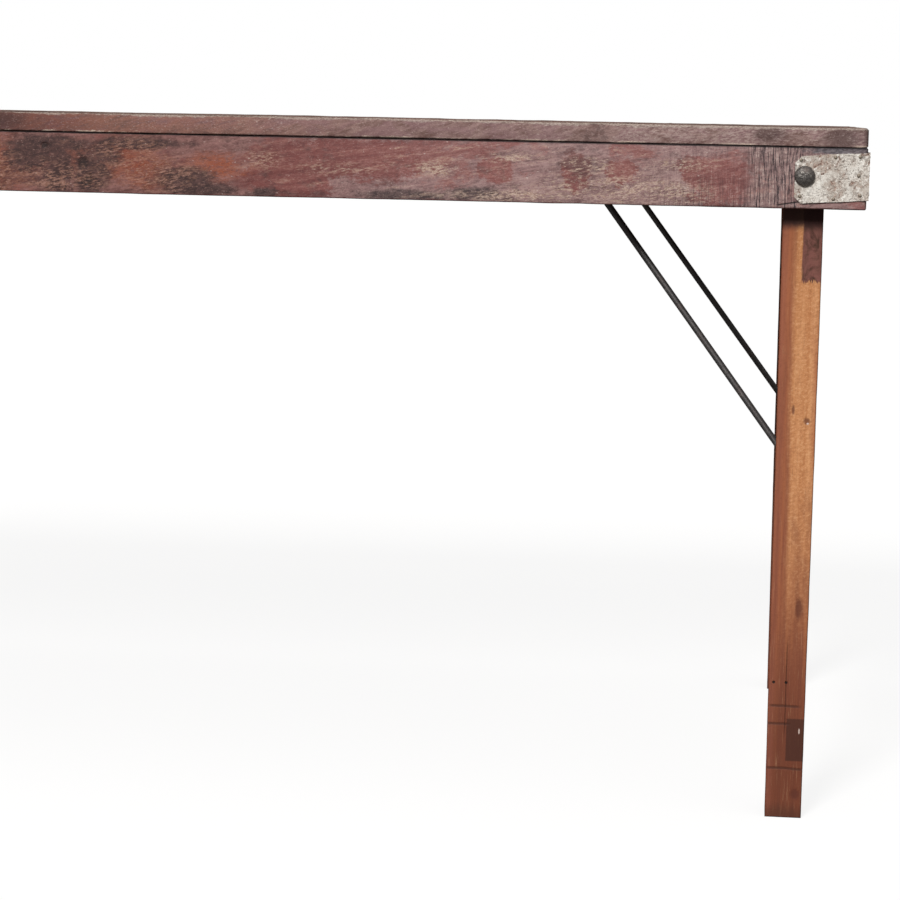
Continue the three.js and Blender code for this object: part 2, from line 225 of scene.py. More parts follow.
# %% [markdown]
# ## Red paint, worn thin
# The aprons were painted a dull red long ago, and every layer of what happened since follows the
# same wood. So the noises are made once, all but one stretched along the board, and the layers
# share them. A picture wrapped round the board would be simpler, but it would smear on the ends.
# %% Patterns of the aprons
class ApronFinish(Finish):
    def __init__(self, name, along):
        super().__init__(name)
        self.along = along
        self.broad = self.cloud(self.grain(5.0, 11.0), detail=4.0, rough=0.6, swirl=0.3)
        self.blotch = self.cloud(self.grain(17.0, 30.0, 3.1), detail=8.0, rough=0.68, swirl=0.4)
        self.mottle = self.cloud(self.grain(120.0, 190.0, 6.2, 0.2), detail=6.0, rough=0.75)
        self.vein = self.cloud(self.grain(15.0, 140.0, 1.7, 0.16), detail=8.0, rough=0.76,
                               swirl=0.2)
        self.dash = self.cloud(self.grain(150.0, 470.0, 8.8, 0.14), detail=5.0, rough=0.72)
        self.fibre = self.cloud(self.grain(430.0, 900.0, 5.3, 0.1), detail=3.0, rough=0.75)
        self.ragged = self.blotch * 0.65 + self.mottle * 0.35

    def grain(self, length, across, shift=0.0, tilt=0.0):
        scale = [across, across, across]
        scale[0 if self.along == "x" else 1] = length
        return self.stretched(tuple(scale), (0.0, tilt, 0.0), (shift, shift * 0.7, shift * 1.3))

    def spots(self, places, ragged, soft, cloud):
        """Patches on the front apron, each (x, z, half width, half height) in metres."""
        return any_of(self.patch((x, apron_low.y, z), (w, 0.06, h), ragged, soft, cloud)
                      for x, z, w, h in places)


print("apron patterns ready")

# %% [markdown]
# ## Mauve, red and the orange under it
# Sun and hands have turned most of the red to mauve, and left it where less light falls. Where the
# paint is thinnest an orange undercoat shows. The red and the orange lie partly where noise puts
# them and partly in listed places on the front, because that is where they lie on the real table.
# %% Old paint
def old_paint(f):
    """The paint's colour, and where it is still red."""
    mauve = f.mix(f.vein.rise(0.38, 0.62), colour("6f5250"), colour("987674"))
    mauve = f.mix(f.mottle.rise(0.42, 0.62) * 0.5, mauve, colour("ae918c"))
    red = f.mix(f.vein.rise(0.34, 0.66), colour("723c39"), colour("8c524c"))
    red = f.mix(f.mottle.rise(0.45, 0.65) * 0.3, red, colour("97655f"))
    red_here = (f.broad * 0.55 + f.ragged * 0.45).rise(0.525, 0.565) * 0.75
    red_here = red_here | f.spots(
        ((0.604, 0.707, 0.018, 0.0145), (0.689, 0.704, 0.015, 0.021),
         (0.738, 0.706, 0.0165, 0.015), (0.840, 0.706, 0.042, 0.026),
         (0.455, 0.716, 0.085, 0.022), (0.375, 0.695, 0.055, 0.030)), 4.2, 0.16, f.ragged) * 0.85
    shown = f.mix(red_here, mauve, red)
    under = f.spots(
        ((0.055, 0.705, 0.040, 0.030), (0.190, 0.710, 0.050, 0.022),
         (0.215, 0.692, 0.030, 0.012), (0.290, 0.704, 0.036, 0.014),
         (0.130, 0.712, 0.030, 0.020)), 3.4, 0.5, f.ragged)
    under = under | (f.broad * 0.4 + f.vein * 0.6).rise(0.58, 0.66) * 0.5
    return f.mix(under * f.dash.rise(0.34, 0.56) * 0.85, shown, colour("a8603c")), red_here


print("old paint ready")

# %% [markdown]
# ## Stains and knots
# Weather and spills have left the middle of the apron dark, in blots with torn edges, and three
# small knots have bled through. They darken the paint instead of hiding it, so they are mixed over
# it in two browns that follow the fine mottle.
# %% Stains and knots
def stains_and_knots(f, shown):
    """The paint with its stains, and where the knots are."""
    stain = (f.blotch * 0.7 + f.broad * 0.3).rise(0.485, 0.41) * 0.55
    stain = stain | f.spots(
        ((0.086, 0.718, 0.034, 0.020), (0.120, 0.698, 0.020, 0.030),
         (0.155, 0.695, 0.022, 0.032), (0.172, 0.716, 0.022, 0.014),
         (0.262, 0.692, 0.030, 0.012), (0.110, 0.726, 0.060, 0.010),
         (0.205, 0.728, 0.060, 0.007), (0.280, 0.679, 0.036, 0.007),
         (0.345, 0.677, 0.016, 0.006), (0.495, 0.678, 0.050, 0.006),
         (0.580, 0.682, 0.030, 0.008)), 3.4, 0.45, f.ragged) * 0.95
    browns = f.mix(f.mottle.rise(0.35, 0.65), colour("3b3031"), colour("64504e"))
    shown = f.mix(stain, shown, browns)
    knot = f.spots(((0.103, 0.724, 0.004, 0.003), (0.147, 0.706, 0.005, 0.006),
                    (0.152, 0.686, 0.006, 0.007)), 1.0, 0.4, f.mottle)
    return f.mix(knot * 0.8, shown, colour("271f1f")), knot


print("stains ready")

# %% [markdown]
# ## Bare wood
# Rubbing takes paint off the ridges of the grain first, so bare wood shows as short tan dashes and
# never as round spots. Finer pale and dark lines run through the paint itself. The middle of the
# table has been handled most and is warmer and darker, so it is multiplied by one tint.
# %% Bare wood
def bare_wood(f, shown, red_here):
    """The paint worn through along the grain, and where the wood is bare."""
    worn = f.spots(
        ((0.048, 0.698, 0.020, 0.022), (0.195, 0.722, 0.040, 0.011),
         (0.220, 0.700, 0.050, 0.020), (0.120, 0.690, 0.035, 0.014),
         (0.345, 0.715, 0.018, 0.010), (0.430, 0.705, 0.040, 0.006),
         (0.535, 0.708, 0.020, 0.008), (0.720, 0.690, 0.080, 0.016),
         (0.790, 0.688, 0.040, 0.013), (0.700, 0.714, 0.030, 0.007),
         (0.620, 0.722, 0.030, 0.006), (0.130, 0.684, 0.050, 0.007),
         (0.800, 0.716, 0.030, 0.006), (0.640, 0.680, 0.080, 0.006)), 3.4, 0.7, f.ragged)
    worn = worn | (f.broad * 0.35 + f.vein * 0.65).rise(0.53, 0.62) * 0.6
    bare = (f.dash * 0.60 + f.vein * 0.40).rise(0.475, 0.555) * worn
    tans = f.mix(f.fibre.rise(0.35, 0.65), colour("a28371"), colour("c9b2a2"))
    shown = f.mix(bare * 0.85, shown, tans)
    thin = (f.dash * 0.4 + f.fibre * 0.6).rise(0.53, 0.64) * (0.42 - red_here * 0.15)
    shown = f.mix(thin, shown, colour("c3aaa2"))
    dark_line = (f.dash * 0.45 + f.fibre * 0.55).rise(0.465, 0.37) * 0.58
    shown = f.mix(dark_line, shown, colour("433132"))
    shown = f.mix(abs(f.x).rise(0.56, 0.22), shown, (0.68, 0.50, 0.465, 1.0), "MULTIPLY")
    fleck = f.cloud(f.grain(260.0, 700.0, 2.2), detail=2.0, rough=0.5).rise(0.68, 0.74)
    return f.mix(fleck * f.mottle.rise(0.5, 0.6) * 0.7, shown, colour("dccdc2")), bare


print("bare wood ready")

# %% [markdown]
# ## Saw marks, a split and a gouge
# Near its ends the board still has the upright marks of the saw, strong in the last span before the
# plate and hair-fine before that, and they hold dirt, pale fibres and some rust. A long split runs
# under the front plate and a gouge above it, whose dark grey is painted shadow in the chip. All
# three also go into the bump, as cuts in the wood.
# %% Saw marks
def saw_marks(f, shown, red_here):
    """The apron's end with its saw marks, split and gouge, and their height."""
    reach = abs(f.x)
    lines = f.cloud(f.stretched((620.0, 6.0, 42.0), (0.0, 0.02, 0.0)), detail=5.0, rough=0.78)
    strong = reach.rise(0.866, 0.880) * (reach + (f.ragged - 0.5) * 0.10).rise(0.950, 0.925)
    lower = 0.25 + f.z.rise(0.715, 0.69) * 0.4
    faint = reach.rise(0.72, 0.86) * reach.rise(0.89, 0.87) * lower
    zone = (strong | faint) * (1.0 - red_here * 0.5)
    greys = f.mix(f.mottle.rise(0.4, 0.6), colour("7d6663"), colour("a08a85"))
    shown = f.mix(strong * 0.45, shown, greys)
    shown = f.mix(zone * lines.rise(0.50, 0.43), shown, colour("352b2e"))
    pale = lines.rise(0.54, 0.62) * f.dash.rise(0.38, 0.6)
    shown = f.mix(zone * pale, shown, colour("c6b2a8"))
    rust = lines.rise(0.53, 0.60) * f.mottle.rise(0.58, 0.62) * 0.6
    shown = f.mix(zone * rust, shown, colour("a4563c"))
    slope = f.z - 0.6765 - (reach - 0.905) * 0.16
    split = abs(slope + (f.vein - 0.5) * 0.003).rise(0.0011, 0.0004)
    split = split * reach.rise(0.904, 0.908) * reach.rise(0.932, 0.928) * f.y.rise(0.0, -0.1)
    shown = f.mix(split * 0.85, shown, colour("1d1718"))
    # The gouge is a real chip, and its dark greys are painted shadow inside it.
    gouge = f.patch((0.984, apron_low.y, 0.7358), (0.046, 0.05, 0.0052), 1.2, 0.3, f.mottle)
    gouge_shade_greys = f.mix(f.dash.rise(0.4, 0.6), colour("35343a"), colour("6c686c"))
    shown = f.mix(gouge * 0.85, shown, gouge_shade_greys)
    return shown, zone * lines - split * 1.6 - gouge * 0.5


print("saw marks ready")

# %% [markdown]
# ## The aprons' finish put together
# The layers go on in the order in which they happened. Last come the dirt along the top arris,
# where the boards rest, and the red-brown lower arris, rubbed bare. The end rails get the same
# finish with its grain turned to run from front to back, and without saw marks.
# %% Worn red paint
def worn_red_paint(name, along="x"):
    f = ApronFinish(name, along)
    shown, red_here = old_paint(f)
    shown, knot = stains_and_knots(f, shown)
    shown, bare = bare_wood(f, shown, red_here)
    if along == "x":
        shown, saw = saw_marks(f, shown, red_here)
    else:
        saw = f.mottle * 0.1
    seam = (f.z + (f.vein - 0.5) * 0.0022).rise(apron_high.z - 1.7 * mm, apron_high.z - 0.5 * mm)
    shown = f.mix(seam * 0.93, shown, colour("211b1c"))
    lower = (f.z + (f.blotch - 0.5) * 0.003).rise(apron_low.z + 1.7 * mm, apron_low.z + 0.4 * mm)
    shown = f.mix(lower * 0.7, shown, colour("5d2d27"))
    f.set("Base Color", shown)
    f.set("Roughness", 0.60 + bare * 0.22 + f.fibre * 0.12 - red_here * 0.06)
    f.set("Specular IOR Level", 0.3)
    grain = f.fibre * 0.35 + f.dash * 0.35 + f.vein * 0.35
    f.bump(grain - bare * 0.35 + saw * 0.9 - knot * 1.2, 1.0 * mm, 0.8)
    return f.material


apron_paint = worn_red_paint("worn_red_paint")
end_paint = worn_red_paint("worn_red_paint_end", along="y")
print("paint made:", apron_paint.name, end_paint.name)

# %% [markdown]
# ## Top boards
# The top has lost its paint. Every board is a different piece of wood, so each shifts the patterns
# by its own number, counted from the front. One finish then does for all five boards, where five
# finishes would say the same thing five times.
# %% Patterns of the boards
class BoardFinish(Finish):
    def __init__(self, name):
        super().__init__(name)
        self.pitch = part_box("top_board_2")[0].y - board_low.y
        self.number = ((self.y - board_low.y) / self.pitch).maths("FLOOR") | 0.0
        steps = [self.number * 3.7, self.number * 0.9, self.number * 1.7]
        shift = self.add("ShaderNodeCombineXYZ", None, steps)[0]
        self.place = self.add("ShaderNodeVectorMath", {"operation": "ADD"}, [self.place, shift])[0]
        self.broad = self.cloud(self.stretched((5.0, 9.0, 9.0)), detail=4.0, rough=0.6, swirl=0.4)
        self.blotch = self.cloud(self.stretched((19.0, 40.0, 40.0), shift=(3.0, 1.0, 2.0)),
                                 detail=7.0, rough=0.66, swirl=0.5)
        self.figure = self.cloud(self.stretched((40.0, 120.0, 190.0), (0.0, 0.30, 0.05)),
                                 detail=8.0, rough=0.76, swirl=0.3)
        self.streak = self.cloud(self.stretched((9.0, 190.0, 190.0), shift=(2.0, 0, 1.0)),
                                 detail=8.0, rough=0.7)
        self.dash = self.cloud(self.stretched((170.0, 480.0, 480.0), (0.0, 0.12, 0.0),
                                              (1.0, 2.0, 3.0)), detail=5.0, rough=0.72)
        self.fibre = self.cloud(self.stretched((430.0, 900.0, 900.0)), detail=3.0, rough=0.75)

    def near_rim(self, outside, inside):
        """1 close to the top's outer edges and 0 further in, from two distances to the edge."""
        side = abs(self.y).rise(top_side - outside, top_side - inside)
        return side | abs(self.x).rise(top_end - outside, top_end - inside)


print("board patterns ready")

# %% [markdown]
# ## The boards' edges
# The edge that shows from the front is brown going mauve, with a slanting figure in the wood. It is
# warmer near the middle of the table and paler near the end, with a few dark knots and stains.
# %% Board edges
def board_edge(f):
    """The colour of the boards' edges, and where they are stained dark."""
    body = f.mix(f.figure.rise(0.36, 0.64), colour("684c46"), colour("967a74"))
    mauves = f.mix(f.streak, colour("6d4c4e"), colour("9c7b7d"))
    body = f.mix(f.blotch.rise(0.46, 0.58) * 0.6, body, mauves)
    warm = f.x.rise(0.55, 0.15) * f.x.rise(-0.4, 0.0)
    body = f.mix(warm * 0.75 * f.figure.rise(0.3, 0.6), body, colour("85503c"))
    pale = f.x.rise(0.60, 0.78) * f.blotch.rise(0.40, 0.55) * 0.5
    body = f.mix(pale * f.dash.rise(0.42, 0.58), body, colour("b19c93"))
    dark = (f.broad * 0.4 + f.blotch * 0.6).rise(0.44, 0.38) * 0.7
    for x, z, w in ((0.895, 0.753, 0.018), (0.975, 0.749, 0.024), (0.045, 0.750, 0.030)):
        dark = dark | f.patch((x, board_low.y, z), (w, 0.05, 0.011), 1.8, 0.6, f.blotch)
    body = f.mix(dark * 0.7, body, f.mix(f.dash, colour("352726"), colour("5d4744")))
    lines = f.dash * 0.4 + f.fibre * 0.6
    body = f.mix(lines.rise(0.53, 0.64) * 0.5, body, colour("bfaba5"))
    body = f.mix(lines.rise(0.46, 0.37) * 0.5, body, colour("433132"))
    return f.mix(abs(f.x).rise(0.20, 0.09), body, (0.70, 0.62, 0.63, 1.0), "MULTIPLY"), dark


print("board edges ready")

# %% [markdown]
# ## The boards' upper and lower faces
# The upper face is bleached and dry, with rests of red paint and dark gaps between the boards. The
# underside was never painted. The height alone can't tell a face from its edge, because a face is
# all at one height, so whatever belongs to the outer edges is kept near them by a mask of its own.
# %% Board faces
def board_top(f):
    """The colour of the upper face."""
    plank = f.cloud(f.stretched((0.8, 6.0, 6.0), shift=(5.0, 2.0, 0.0)), detail=2.0)
    face = f.mix(f.streak.rise(0.40, 0.60), colour("58433b"), colour("927a69"))
    browns = f.mix(f.streak, colour("50393a"), colour("83635a"))
    face = f.mix(plank.rise(0.40, 0.60) * 0.6, face, browns)
    paint = (f.broad * 0.45 + f.blotch * 0.35 + f.streak * 0.2).rise(0.49, 0.55) * 0.75
    face = f.mix(paint, face, f.mix(f.dash.rise(0.4, 0.6), colour("673b38"), colour("8d5a52")))
    face = f.mix(f.dash.rise(0.52, 0.62) * 0.55, face, colour("b8a797"))
    face = f.mix(f.fibre.rise(0.45, 0.36) * 0.5, face, colour("3f2f2a"))
    damp = (f.broad * 0.5 + f.blotch * 0.5).rise(0.455, 0.40) * 0.65
    face = f.mix(damp, face, colour("41322e"))
    half = (board_high.y - board_low.y) / 2
    from_middle = abs(f.y - board_low.y - f.number * f.pitch - half)
    gap = from_middle.rise(half - 2.4 * mm, half - 0.8 * mm)
    gap = gap * abs(f.y).rise(top_side - 8 * mm, top_side - 14 * mm)
    return f.mix(gap * 0.85, face, colour("1f1917"))


def board_underside(f):
    """The bare wood under the top."""
    under = f.mix(f.streak.rise(0.38, 0.62), colour("5e4836"), colour("8d7055"))
    under = f.mix(f.blotch.rise(0.50, 0.60) * 0.5, under, colour("4c3a2f"))
    return f.mix(f.fibre.rise(0.45, 0.36) * 0.4, under, colour("3a2c24"))


print("board faces ready")

# %% [markdown]
# ## The boards' finish put together
# Hands have rubbed the upper arris to a pale grey. Where a board meets the apron, its lower arris
# is chipped to light fibres above a dark joint.
# %% Weathered top boards
def weathered_boards(name):
    f = BoardFinish(name)
    body, dark = board_edge(f)
    upward = f.z.rise(board_high.z - 1.3 * mm, board_high.z - 0.2 * mm)
    body = f.mix(upward, body, board_top(f))
    rim = f.z + (f.dash - 0.5) * 0.006 + (f.blotch - 0.5) * 0.010 + f.x.rise(0.55, 0.72) * 0.0012
    rubbed = rim.rise(board_high.z - 2.3 * mm, board_high.z - 0.7 * mm)
    greys = f.mix(f.fibre.rise(0.4, 0.6), colour("85766c"), colour("beb1a5"))
    body = f.mix(rubbed * f.near_rim(10 * mm, 3 * mm) * 0.6, body, greys)
    outer = f.near_rim(6 * mm, 2 * mm)
    chip = f.z + (f.fibre - 0.5) * 0.005 + (f.dash - 0.5) * 0.005
    chip = chip.rise(board_low.z + 2.6 * mm, board_low.z + 1.7 * mm)
    chip = chip * (f.figure * 0.5 + f.blotch * 0.5).rise(0.50, 0.56) * outer
    body = f.mix(chip * 0.85, body, colour("cfb9a8"))
    downward = f.z.rise(board_low.z + 1.2 * mm, board_low.z + 0.3 * mm)
    body = f.mix(downward * (1.0 - outer), body, board_underside(f))
    joint = f.z + (f.streak - 0.5) * 0.0022
    joint = joint.rise(board_low.z + 1.2 * mm, board_low.z + 0.4 * mm)
    body = f.mix(joint * outer * 0.93, body, colour("1c1717"))
    f.set("Base Color", body)
    f.set("Roughness", 0.66 + f.fibre * 0.2)
    f.set("Specular IOR Level", 0.28)
    grain = f.fibre * 0.35 + f.dash * 0.4 + f.figure * 0.3 + f.streak * 0.3
    f.bump(grain - dark * 0.3, 1.0 * mm, 0.8)
    return f.material


board_wood = weathered_boards("weathered_top_boards")
print("boards' wood made:", board_wood.name)

# %% [markdown]
# ## Stained legs
# The legs and rails are orange-brown under an old stain. Both have the same noises and the same
# base coat, stretched up the legs and along the rails. On the legs, the distance from a leg's own
# middle serves all four of them, on both ends of the table.
# %% Patterns of the legs
class LegFinish(Finish):
    def __init__(self, name, along):
        super().__init__(name)
        self.along = along
        self.across = abs(self.x) - pivot_x
        self.broad = self.cloud(self.grain(3.0, 12.0), detail=4.0, rough=0.55, swirl=0.3)
        self.streak = self.cloud(self.grain(3.0, 110.0, 2.3), detail=6.0, rough=0.6, swirl=0.15)
        self.fibre = self.cloud(self.grain(30.0, 800.0, 4.1), detail=5.0, rough=0.68)
        self.ripple = self.cloud(self.stretched((300.0, 300.0, 480.0), turn=(0.0, 0.4, 0.0)),
                                 detail=4.0, rough=0.7)

    def grain(self, length, width, shift=0.0):
        scale = [width, width, width]
        scale[{"x": 0, "y": 1, "z": 2}[self.along]] = length
        return self.stretched(tuple(scale), shift=(shift, shift * 0.6, shift * 1.4))

    def near_foot(self):
        return self.z.rise(0.30, 0.05)


print("leg patterns ready")

# %% [markdown]
# ## Stain with a light band
# A light band runs up the middle of each leg and narrows towards the foot, where the wood darkens.
# It drifts with broad noise, because a band with straight edges would look painted on. The rails
# are lighter in patches instead.
# %% Old stain
def old_stain(f):
    base = f.mix(f.streak.rise(0.35, 0.65), colour("854a33"), colour("a3603b"))
    light = f.mix(f.streak.rise(0.3, 0.7), colour("b97a4b"), colour("d09565"))
    if f.along == "z":
        drift = (f.broad - 0.5) * 0.022
        left_edge = f.across + drift + (f.streak - 0.5) * 0.006
        band = left_edge.rise(-0.012, -0.003) * f.z.rise(0.14, 0.40)
        narrowing = (f.across - (0.62 - f.z) * 0.012 + drift).rise(0.024, 0.012)
        band = band * (narrowing | f.z.rise(0.45, 0.6))
    else:
        band = f.broad.rise(0.45, 0.6) * 0.7
    shown = f.mix(band * 0.95, base, light)
    if f.along == "z":
        deep = f.mix(f.streak, colour("552a1c"), colour("793f28"))
        shown = f.mix(f.near_foot() * (0.65 + f.broad * 0.5), shown, deep)
        side = f.across.rise(-0.010, -0.019) * 0.45
        shown = f.mix(side * f.streak.rise(0.3, 0.6), shown, colour("8b4f41"))
    dull = f.cloud(f.grain(8.0, 30.0, 7.7), detail=5.0, rough=0.6).rise(0.56, 0.68) * 0.4
    shown = f.mix(dull, shown, colour("7a452f"))
    shown = f.mix(f.ripple.rise(0.50, 0.64) * band * 0.38, shown, colour("dfae80"))
    shown = f.mix(f.ripple.rise(0.49, 0.36) * 0.24, shown, colour("6a3a25"))
    shown = f.mix(f.fibre.rise(0.45, 0.25) * 0.45, shown, colour("5d3322"))
    return f.mix(f.fibre.rise(0.56, 0.74) * 0.25, shown, colour("dcb084"))


print("old stain ready")

# %% [markdown]
# ## Old paint on the front right leg
# This leg has a dark patch of old paint right under the apron, with a torn lower edge, and a small
# square one near the foot. Both stop at the same upright line, as if something had covered the
# wood. Masks on the place across and on the depth keep them off the other legs. All four legs also
# get painted shade just under the apron.
# %% Dark patches
def dark_patches(f, shown, torn, front):
    """The leg with its dark patches and the painted shade under the apron, and where the old paint
    is.
    """
    edge = (f.z + (torn - 0.5) * 0.028 - (f.x - pivot_x) * 0.05).rise(0.5925, 0.5940)
    old = edge * (f.x + (torn - 0.5) * 0.004).rise(pivot_x + 0.2 * mm, pivot_x + 1.6 * mm)
    old = old * f.y.rise(leg_low.y + 6 * mm, leg_low.y + 1 * mm)
    cloudy = f.cloud(f.stretched((70.0, 70.0, 38.0)), detail=7.0, rough=0.7, swirl=0.8)
    browns = f.mix(cloudy.rise(0.36, 0.62), colour("35201e"), colour("774a45"))
    shown = f.mix(old * 0.94, shown, browns)
    # Painted shade: every leg is darkened just under the apron, where the apron's shadow falls.
    shade = f.z + (cloudy - 0.5) * 0.010
    shade = shade.rise(apron_low.z - 27 * mm, apron_low.z - 15 * mm)
    shown = f.mix(shade * 0.93, shown, colour("341a18"))
    square = (f.x + (torn - 0.5) * 0.001).rise(pivot_x + 0.2 * mm, pivot_x + 1.2 * mm)
    square = square * f.z.rise(0.0635, 0.0650) * f.z.rise(0.1125, 0.1110) * front
    return f.mix(square * (0.55 + f.streak * 0.3), shown, colour("351c15")), old


print("dark patches ready")

# %% [markdown]
# ## Scratches, a crack, nail holes and knots
# These are small and in known places, so each is a line or a patch where it lies, roughened by the
# same torn noise. They also go into the bump, because a hole that is only dark looks like a dot.
# %% Marks of use
def marks_of_use(f, shown, torn, front):
    """The leg with its scratches, crack, nail holes and knots, and how deep they are."""
    scratches = []
    for height, start, end in ((0.126, -0.018, 0.014), (0.106, -0.021, 0.004),
                               (0.056, -0.020, 0.020)):
        level = abs(f.z + (f.broad - 0.5) * 0.006 - height).rise(0.0022, 0.0006)
        level = level * f.x.rise(pivot_x + start - 0.003, pivot_x + start + 0.003)
        scratches.append(level * f.x.rise(pivot_x + end + 0.004, pivot_x + end - 0.004) * front)
    scored = any_of(scratches)
    shown = f.mix(scored * 0.7, shown, colour("43241a"))
    crack = abs(f.x - pivot_x + 1.0 * mm + (f.broad - 0.5) * 0.004).rise(0.0007, 0.0002)
    crack = crack * f.z.rise(0.085, 0.105) * f.z.rise(0.205, 0.185) * front
    shown = f.mix(crack * 0.6, shown, colour("3a2018"))

    def spot(x, z, size, ragged, soft):
        """A patch on the leg's front: across and sizes in mm, height in metres."""
        centre = (pivot_x + x * mm, leg_low.y, z)
        return f.patch(centre, tuple(s * mm for s in size), ragged, soft, torn)

    holes = any_of(spot(x, 0.152, (1.5, 6.0, 1.5), 0.0, 0.3) for x in (-14.7, -1.1))
    shown = f.mix(holes * 0.95, shown, colour("170d0a"))
    knots = any_of(spot(x, z, (w, 20.0, h), 1.2, 0.45) for x, z, w, h in (
        (-3.6, 0.454, 1.6, 5.0), (11.8, 0.442, 3.4, 3.6), (12.4, 0.027, 5.0, 5.5),
        (10.0, 0.235, 4.0, 11.0)))
    shown = f.mix(knots * 0.7, shown, colour("56291d"))
    fleck = spot(12.6, 0.4395, (1.3, 10.0, 1.0), 0.8, 0.3)
    scratch = spot(14.8, 0.098, (0.8, 10.0, 3.0), 0.5, 0.3)
    shown = f.mix((fleck | scratch) * 0.75, shown, colour("d8c3b8"))
    return shown, holes * -2.2 - crack * 1.1 - scored * 0.4 - knots * 0.3


print("marks of use ready")

# %% [markdown]
# ## The legs' finish put together
# The arrises of the legs are worn and the foot is scuffed, on all four. The rails leave out
# everything that belongs to a leg.
# %% Stained leg wood
def stained_wood(name, along):
    f = LegFinish(name, along)
    shown = old_stain(f)
    shine = 0.40 + f.fibre * 0.18 + f.broad * 0.1
    height = f.fibre * 0.35 + f.streak * 0.35 + f.ripple * 0.15
    if along == "z":
        torn = f.cloud(f.stretched((650.0, 650.0, 40.0)), detail=4.0, rough=0.7)
        front = f.y.rise(leg_low.y + 5 * mm, leg_low.y + 1 * mm)
        shown, old = dark_patches(f, shown, torn, front)
        shown, dents = marks_of_use(f, shown, torn, front)
        height = height + (dents + old * 0.35)
        shine = shine + old * 0.2 + f.near_foot() * 0.08
        corner = abs(f.across).rise(0.0188, 0.0212) * f.streak.rise(0.45, 0.6) * 0.35
        shown = f.mix(corner, shown, colour("7d4632"))
        foot = (f.z + (f.streak - 0.5) * 0.03).rise(0.020, 0.004)
        shown = f.mix(foot * 0.55, shown, colour("4b2c20"))
    f.set("Base Color", shown)
    f.set("Roughness", shine + 0.06)
    f.set("Specular IOR Level", 0.28)
    f.bump(height, 0.9 * mm, 0.7)
    return f.material


leg_wood = stained_wood("stained_leg_wood", along="z")
rail_wood = stained_wood("stained_rail_wood", along="y")
print("leg wood made:", leg_wood.name, rail_wood.name)

# %% [markdown]
# ## Bare wood under the top
# The battens were never painted. Dry softwood goes from straw to grey-brown, with dark latewood
# lines along the grain, which here runs from front to back.
# %% Bare batten wood
def bare_softwood(name):
    f = Finish(name)
    streak = f.cloud(f.stretched((160.0, 4.0, 160.0)), detail=6.0, rough=0.6, swirl=0.2)
    broad = f.cloud(f.stretched((14.0, 3.0, 14.0)), detail=4.0)
    fibre = f.cloud(f.stretched((900.0, 40.0, 900.0)), detail=4.0, rough=0.7)
    shown = f.mix(streak.rise(0.35, 0.62), colour("7d5f43"), colour("ad8a63"))
    shown = f.mix(broad.rise(0.45, 0.65) * 0.6, shown, colour("6d5746"))
    shown = f.mix(fibre.rise(0.42, 0.25) * 0.5, shown, colour("4e3a2c"))
    f.set("Base Color", shown).set("Roughness", 0.74 + fibre * 0.15)
    f.set("Specular IOR Level", 0.3)
    f.bump(fibre * 0.5 + streak * 0.6, 0.8 * mm, 0.7)
    return f.material


batten_wood = bare_softwood("bare_batten_wood")
print("batten wood made:", batten_wood.name)

# %% [markdown]
# ## Chipped cream paint on sheet iron
# The corner plates were painted cream, many coats thick. The coats have cracked off in small
# flakes down to rust and grey primer, and grime has settled in the hollows. The mask for the flakes
# also drives the bump, so each flake has an edge of its own.
# %% Chipped cream plates
def chipped_cream(name):
    f = Finish(name)
    grime = f.cloud(f.stretched((34.0, 34.0, 34.0)), detail=6.0, rough=0.65, swirl=0.6)
    flake = f.cloud(f.stretched((130.0, 130.0, 170.0), turn=(0.2, 0.5, 0.1)), detail=7.0,
                    rough=0.72, swirl=1.4)
    crumple = f.cloud(f.stretched((250.0, 250.0, 250.0)), detail=4.0, rough=0.6, swirl=1.0)
    pit = f.cloud(f.stretched((520.0, 520.0, 520.0)), detail=3.0, rough=0.65)
    shown = f.mix(grime.rise(0.38, 0.60), colour("e2dbd1"), colour("b5a89c"))
    shown = f.mix(crumple.rise(0.54, 0.64) * 0.7, shown, colour("f0ebe3"))
    shown = f.mix(crumple.rise(0.47, 0.38) * 0.6, shown, colour("80736a"))
    tan = (flake * 0.6 + grime * 0.4).rise(0.530, 0.575)
    shown = f.mix(tan * 0.7, shown, f.mix(pit.rise(0.4, 0.6), colour("8f6856"), colour("c6aa9b")))
    bare = (flake * 0.75 + pit * 0.25).rise(0.585, 0.625)
    shown = f.mix(bare * 0.85, shown, f.mix(pit.rise(0.4, 0.6), colour("43342d"), colour("86523c")))
    shown = f.mix(pit.rise(0.63, 0.70) * 0.6, shown, colour("5f554c"))
    f.set("Base Color", shown)
    f.set("Roughness", 0.5 + bare * 0.3 + grime * 0.15)
    f.set("Metallic", bare * 0.35)
    f.set("Specular IOR Level", 0.4)
    f.bump(flake.rise(0.62, 0.58) * 0.5 + crumple * 1.6 + pit * 0.5 + grime * 0.4, 1.2 * mm)
    return f.material


plate_paint = chipped_cream("chipped_cream_plate")
print("plate paint made:", plate_paint.name)
